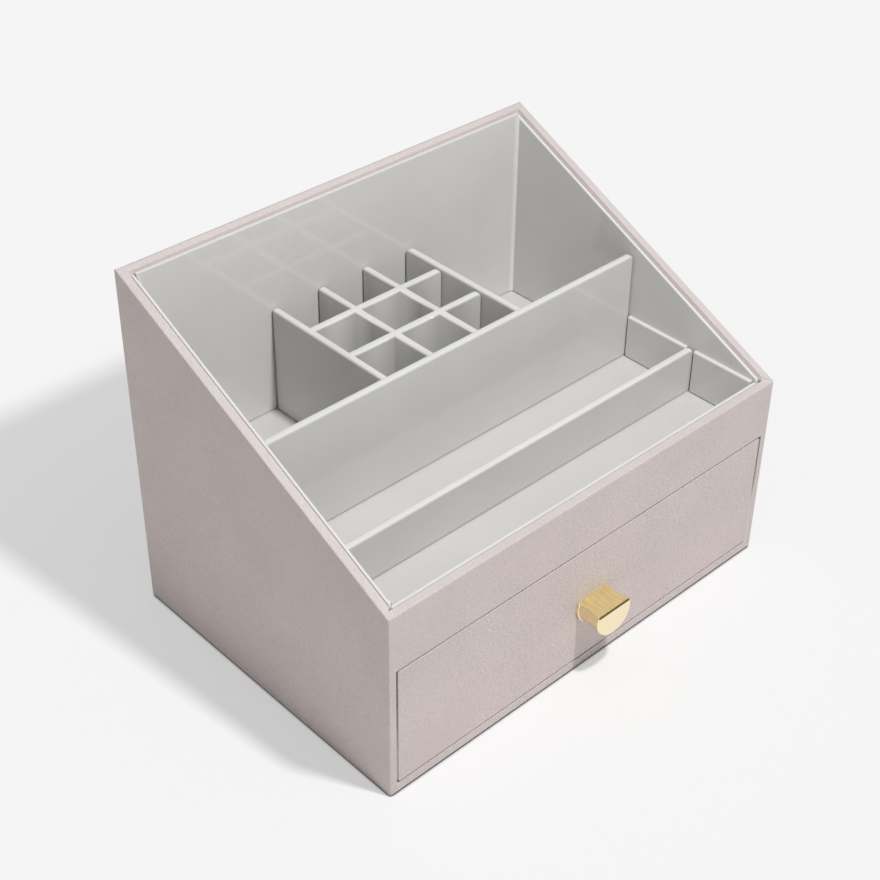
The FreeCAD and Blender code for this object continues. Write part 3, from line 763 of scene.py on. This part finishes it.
def make_lattice():
    """The nine-cell grid and the left wall that it grows out of: one moulding with flush tops."""
    wall = mm_box("bay_divider_left")
    crosses = [mm_box("grid_cross_left"), mm_box("grid_cross_right")]
    slats = [mm_box("grid_slat_front"), mm_box("grid_slat_back")]
    bottom, top = wall[0][2] + SEAM, wall[1][2]
    cross_xs = [corner[0] for box in crosses for corner in box]
    slat_ys = [corner[1] for box in slats for corner in box]
    xs = sorted({wall[0][0], wall[1][0], slats[0][1][0], *cross_xs})
    ys = sorted({wall[0][1], wall[1][1], *slat_ys})
    wall_columns, slat_rows = (0, 2, 4), (1, 3)
    filled = {(column, row) for column in range(len(xs) - 1) for row in range(len(ys) - 1)
              if column in wall_columns or row in slat_rows}
    bm = bmesh.new()
    bm.edges.layers.float.new("bevel_weight_edge")
    points = {}

    def vert(column, row, z):
        key = (column, row, z)
        if key not in points:
            points[key] = bm.verts.new((xs[column], ys[row], z))
        return points[key]

    for column, row in sorted(filled):
        corners = [(column, row), (column + 1, row), (column + 1, row + 1), (column, row + 1)]
        bm.faces.new([vert(*corner, top) for corner in corners])
        bm.faces.new([vert(*corner, bottom) for corner in reversed(corners)])
        beyond = [(column, row - 1), (column + 1, row), (column, row + 1), (column - 1, row)]
        for at, neighbour in enumerate(beyond):
            if neighbour not in filled:
                here, there = corners[at], corners[(at + 1) % 4]
                bm.faces.new((vert(*here, bottom), vert(*there, bottom),
                              vert(*there, top), vert(*here, top)))
    ends = []
    for edge in bm.edges:
        middle = (edge.verts[0].co + edge.verts[1].co) / 2
        if abs(middle.z - top) < 0.01 and abs(middle.x - xs[-1]) < 0.01:
            ends.append(edge)
    bmesh.ops.bevel(bm, geom=ends, offset=PANEL_CORNER, segments=8, profile=0.5, affect="EDGES")
    bm.normal_update()
    radii = {}
    for edge in bm.edges:
        first, second = (face.normal for face in edge.link_faces)
        if first.dot(second) > 0.5 or not edge.is_convex:
            continue
        middle = (edge.verts[0].co + edge.verts[1].co) / 2
        if abs(middle.y - ys[0]) < 0.01:
            radii[edge] = 0.25
        elif abs(middle.y - ys[-1]) < 0.01:
            radii[edge] = 0.9
        else:
            radii[edge] = 0.4 if middle.z < bottom + 0.01 else TOP_ROUND
    nodes = ["bay_divider_left", "grid_cross_left", "grid_cross_right",
             "grid_slat_front", "grid_slat_back"]
    round_off("cell_lattice", bm, radii, "grey_liner", nodes)


# ---------------------------------------------------------------- drawer

def rounded_ring(x, low, high, radius, y):
    """Points round a rectangle with rounded corners, facing the front."""
    steps = 5
    points = []
    for sx, top, turned in ((1, False, True), (1, True, False), (-1, True, True), (-1, False, False)):
        bends = quarter(steps)
        if turned:
            bends = [(s, c) for c, s in bends]
        for s, c in bends:
            z = high - radius + radius * s if top else low + radius - radius * s
            points.append((sx * (x - radius + radius * c), y, z))
    return points


def make_drawer_front():
    """Wrap of the drawer front: face with the screw's hole, rounded edge, turned in behind."""
    low, high = mm_box("drawer_front_wrap")
    x, front, back = high[0] - SPARE, low[1], high[1]
    bottom, top = low[2] + SPARE, high[2] - SPARE
    corner, behind = 1.15, 0.45  # radii of the corners and of the rear edge
    turn_in, turned_corner = 12.0, 0.6
    rows = []
    for s, c in quarter(4):
        inset = CRISP - CRISP * s
        rows.append(rounded_ring(x - inset, bottom + inset, top - inset, corner - inset * 0.8,
                                 front + CRISP - CRISP * c))
    for s, c in quarter(3):
        inset = behind - behind * c
        rows.append(rounded_ring(x - inset, bottom + inset, top - inset, corner - inset,
                                 back - behind + behind * s))
    rows.append(rounded_ring(x - turn_in, bottom + turn_in, top - turn_in, turned_corner, back))
    bm = bmesh.new()
    grid = skin_rows(bm, rows, True)
    rim = grid[0]
    hole_at = Vector((KNOB_X, front, KNOB_Z))
    hole_radius, steps = 1.8, 24
    hole = []
    for at in range(steps):
        angle = 2 * math.pi * at / steps
        out = Vector((math.cos(angle), 0.0, math.sin(angle)))
        hole.append(bm.verts.new(hole_at + out * hole_radius))
    edges = [bm.edges.get((rim[at - 1], rim[at])) for at in range(len(rim))]
    edges += [bm.edges.new((hole[at - 1], hole[at])) for at in range(len(hole))]
    bmesh.ops.triangle_fill(bm, edges=edges, use_beauty=True, use_dissolve=False)
    face = settle("drawer_face", bm, "leatherette", "drawer", ["drawer_front_wrap"])
    thicken(face, SKIN)
    even_normals(face)


def make_drawer_wrap():
    """Wrap round the outside and over the top of the drawer's sides and back."""
    low, high = mm_box("drawer_wrap")
    x, front, back, bottom, top = high[0], low[1], high[1], low[2], high[2]
    sheet, edge, over = 0.3, 0.28, 3.3
    profile = [(0.0, bottom)] + [(edge - edge * c, top - edge + edge * s) for s, c in quarter(4)]
    profile.append((over, top))
    rows = []
    for inset, z in profile:
        radius = max(sheet - inset, 0.0)
        end, behind = x - inset - radius, back - inset - radius
        row = [(x - inset, front, z)]
        row += [(end + radius * c, behind + radius * s, z) for s, c in quarter(4)]
        row += [(-end - radius * s, behind + radius * c, z) for s, c in quarter(4)]
        row.append((-x + inset, front, z))
        rows.append(row)
    bm = bmesh.new()
    skin_rows(bm, rows, False)
    wrap = settle("drawer_box_wrap", bm, "leatherette", "drawer", ["drawer_wrap"])
    thicken(wrap, sheet)
    even_normals(wrap)


def make_floor_pad():
    """Thin padded velvet sheet on the drawer's floor, crowned, its edges pulled down."""
    low, high = mm_box("drawer_floor_pad")
    size = [high[at] - low[at] for at in range(3)]
    across, deep = 64, 48
    roll = 1.6  # how far in from the edges the pad rolls down
    edge_height, body, crowned, rippled = 0.45, 0.8, 0.6, 0.06
    rows = []
    for j in range(deep + 1):
        v = -math.cos(math.pi * j / deep)
        y = low[1] + size[1] * (0.5 + 0.5 * v)
        row = []
        for i in range(across + 1):
            u = -math.cos(math.pi * i / across)
            x = low[0] + size[0] * (0.5 + 0.5 * u)
            reach = min(x - low[0], high[0] - x, y - low[1], high[1] - y)
            edge = math.sqrt(max(1.0 - (1.0 - min(reach / roll, 1.0)) ** 2, 0.0))
            crown = (1 - u ** 4) * (1 - v ** 4)
            ripple = math.sin(x / 17.0 + 0.6 * math.sin(y / 23.0)) * math.sin(y / 14.0)
            height = edge_height + edge * (body + crowned * crown + rippled * ripple)
            row.append((x, y, low[2] + min(height, size[2])))
        rows.append(row)
    bm = bmesh.new()
    grid = skin_rows(bm, rows, False)
    loop = grid[0] + [row[-1] for row in grid[1:]]
    loop += grid[-1][-2::-1] + [row[0] for row in grid[-2:0:-1]]
    foot = [bm.verts.new((vert.co.x, vert.co.y, low[2])) for vert in loop]
    for at in range(len(loop)):
        bm.faces.new((loop[at - 1], loop[at], foot[at], foot[at - 1]))
    bm.faces.new(foot)
    pad = settle("drawer_pad", bm, "velvet", "drawer", ["drawer_floor_pad"])


def handle_section(radius, y, flat, soft):
    """D-shaped ring of points: the arc below the flat, with softened corners, then the flat."""
    half = math.sqrt(radius * radius - flat * flat)
    start = math.asin(flat / radius)
    turn = soft / radius
    arc_steps, flat_steps = 56, 8

    def soften(a, corner, c):
        return [tuple((1 - share) ** 2 * a[k] + 2 * share * (1 - share) * corner[k] + share ** 2 * c[k]
                      for k in (0, 1)) for share in (0.33, 0.67)]

    points = []
    for at in range(arc_steps + 1):
        angle = start - turn - (math.pi + 2 * (start - turn)) * at / arc_steps
        points.append((radius * math.cos(angle), radius * math.sin(angle)))
    level = [(-half + soft + (2 * half - 2 * soft) * at / flat_steps, flat)
             for at in range(flat_steps + 1)]
    into_flat = soften(points[-1], (-half, flat), level[0])
    out_of_flat = soften(level[-1], (half, flat), points[0])
    points += into_flat + level + out_of_flat
    return [(KNOB_X + u, y, KNOB_Z + v) for u, v in points]


def make_handle():
    """Brass knob: round foot, hollow neck, bevelled half-round face, flat on top, tapped behind."""
    _left, root, top = mm_box("drawer_handle")[1]
    flat = top - KNOB_Z + 0.3
    neck_start, neck_end, sag_radius = Vector((1.5, 10.3)), Vector((13.1, 10.95)), 30.0
    chord = neck_end - neck_start
    middle = neck_start + chord / 2
    normal = Vector((-chord.y, chord.x)).normalized()
    centre = middle + normal * math.sqrt(sag_radius ** 2 - (chord.length / 2) ** 2)

    def neck(depth):
        return centre.y - math.sqrt(sag_radius ** 2 - (depth - centre.x) ** 2)

    # Depth from the drawer front, radius, and how far the flat is lowered.
    profile = [(0.0, 10.62, 0.0), (0.18, 10.8, 0.0), (1.1, 10.8, 0.0), (1.38, 10.7, 0.0),
               (1.5, 10.5, 0.0), (1.53, 10.32, 0.0)]
    steps, first, last = 14, 1.6, 12.9
    for at in range(1, steps):
        depth = first + (last - first) * at / steps
        profile.append((depth, neck(depth), 0.0))
    profile += [(13.0, 10.93, 0.0), (13.1, 10.95, 0.0), (13.5, 10.95, 0.0), (13.56, 10.95, 0.03),
                (14.24, 10.72, 0.66), (14.3, 10.64, 0.7)]
    rows = [handle_section(radius, root - depth, flat - lower, 0.22) for depth, radius, lower in profile]
    bm = bmesh.new()
    grid = skin_rows(bm, rows, True)
    face = [Vector(vert.co) for vert in grid[-1]]
    heart = sum(face, Vector()) / len(face)
    inner = [bm.verts.new(heart + (point - heart) * 0.96) for point in face]
    for at in range(len(inner)):
        bm.faces.new((grid[-1][at - 1], grid[-1][at], inner[at], inner[at - 1]))
    bm.faces.new(inner)
    axis = Vector((KNOB_X, root, KNOB_Z))
    bore_radius, bore_depth = 1.55, 10.55
    bore = []
    for depth in (0.0, bore_depth):
        ring = []
        for vert in grid[0]:
            out = (vert.co - axis).normalized()
            ring.append(bm.verts.new(axis + out * bore_radius - Vector((0.0, depth, 0.0))))
        bore.append(ring)
    for near, far in ((grid[0], bore[0]), (bore[0], bore[1])):
        for at in range(len(near)):
            bm.faces.new((near[at - 1], near[at], far[at], far[at - 1]))
    bm.faces.new(bore[1])
    knob = settle("knob", bm, "brass", "drawer", ["drawer_handle"])
    knob.data.set_sharp_from_angle(angle=math.radians(38))
    even_normals(knob)


# ---------------------------------------------------------------- CAD nodes that stay

def dress_nodes():
    """Give every CAD node that still shows its finished material."""
    kept = {
        "fibreboard": ["back_board", "front_rail", "base_board", "shelf_board", "drawer_front_board",
                       "drawer_side_left", "drawer_side_right", "drawer_back", "drawer_bottom"],
        "grey_liner": ["tray_floor", "drawer_liner_left", "drawer_liner_right", "drawer_liner_front",
                       "drawer_liner_back"],
        "base_felt": ["base_sheet"],
        "screw_steel": ["handle_screw"],
    }
    for look, nodes in kept.items():
        for node in nodes:
            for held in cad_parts[node].material_slots:
                held.material = LOOKS[look]


# ---------------------------------------------------------------- studio

LAMP = Vector((-0.025, -0.289, 0.580))  # metres
LAMP_LEVEL = 0.76  # light on a surface that faces the lamp, at any distance
FILL = 0.38  # level of the surround
PALE = 0.913  # background as it shows
FLOOR_PAINT = 0.86  # floor's colour for the light it throws on the object
SHADOW_DEPTH = 0.46  # share of the shown floor that its shadows take away
CONTACT = 0.003  # how near to the case the floor goes dark, metres


def make_floor():
    """Pale floor, as pale far from the lamp as under it, that keeps the shadows."""
    bm = bmesh.new()
    bmesh.ops.create_grid(bm, x_segments=1, y_segments=1, size=12.0)
    mesh = bpy.data.meshes.new("floor")
    bm.to_mesh(mesh)
    bm.free()
    floor = bpy.data.objects.new("floor", mesh)
    bpy.context.scene.collection.objects.link(floor)
    look = Look("floor_paint")
    seen = look.seen()
    paint = look.span(seen, 0.0, 1.0, FLOOR_PAINT, SHADOW_DEPTH)
    reach = look.node("ShaderNodeVectorMath", operation="DISTANCE")
    look.join(look.coords.outputs["Object"], reach.inputs[0])
    reach.inputs[1].default_value = LAMP
    lamp_light = look.math("DIVIDE", LAMP_LEVEL * LAMP.z, reach.outputs["Value"])
    glow = look.math("MULTIPLY_ADD", lamp_light, -SHADOW_DEPTH, PALE - SHADOW_DEPTH * FILL)
    near = look.node("ShaderNodeAmbientOcclusion", samples=16)
    near.inputs["Distance"].default_value = CONTACT
    open_air = look.span(near.outputs["AO"], 0.4, 0.7, 0.0, 1.0)
    glow = look.math("MULTIPLY", glow, open_air)
    paint = look.math("MULTIPLY", paint, open_air)
    look.set(Base_Color=look.gather(paint, paint, paint), Roughness=1.0, Specular_IOR_Level=0.0,
             Emission_Color=(1.0, 1.0, 1.0, 1.0), Emission_Strength=look.math("MULTIPLY", glow, seen))
    mesh.materials.append(look.material)
    floor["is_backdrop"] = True


def make_lights():
    """A small lamp of even reach and a soft white surround."""
    data = bpy.data.lights.new("key_light", "POINT")
    data.energy = LAMP_LEVEL * 4 * math.pi ** 2
    data.shadow_soft_size = 0.022
    data.use_nodes = True
    falloff = Tree(data.node_tree)
    even = falloff.node("ShaderNodeLightFalloff")
    even.inputs["Strength"].default_value = 1.0
    falloff.join(even.outputs["Constant"], data.node_tree.nodes["Emission"].inputs["Strength"])
    lamp = bpy.data.objects.new("key_light", data)
    lamp.location = LAMP
    bpy.context.scene.collection.objects.link(lamp)
    world = bpy.data.worlds.new("studio")
    world.use_nodes = True
    surround = Tree(world.node_tree)
    background = world.node_tree.nodes["Background"]
    background.inputs["Color"].default_value = (1.0, 1.0, 1.0, 1.0)
    level = surround.span(surround.seen(), 0.0, 1.0, FILL, PALE)
    surround.join(level, background.inputs["Strength"])
    bpy.context.scene.world = world
    bpy.context.scene.view_settings.view_transform = "Standard"


def make_camera():
    """The camera at the photo's angle, solved from the case's corners."""
    data = bpy.data.cameras.new("camera")
    data.sensor_width = 36.0
    data.lens = 68.38
    data.shift_y = -0.0455
    data.clip_end = 100.0
    camera = bpy.data.objects.new("camera", data)
    camera.location = (-0.4500, -0.46065, 0.5659)
    turned = (54.46560869, -0.53924063, -43.09169559)
    camera.rotation_euler = [math.radians(angle) for angle in turned]
    bpy.context.scene.collection.objects.link(camera)
    bpy.context.scene.camera = camera


make_case_wrap()
make_side_boards()
make_side_liners()
make_end_liners()
make_strips()
make_panels()
make_lattice()
make_drawer_front()
make_drawer_wrap()
make_floor_pad()
make_handle()
dress_nodes()
make_floor()
make_lights()
make_camera()

for corners in (cad_box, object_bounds()):
    json.dumps([[float(value) for value in corner] for corner in corners]) + "\n"
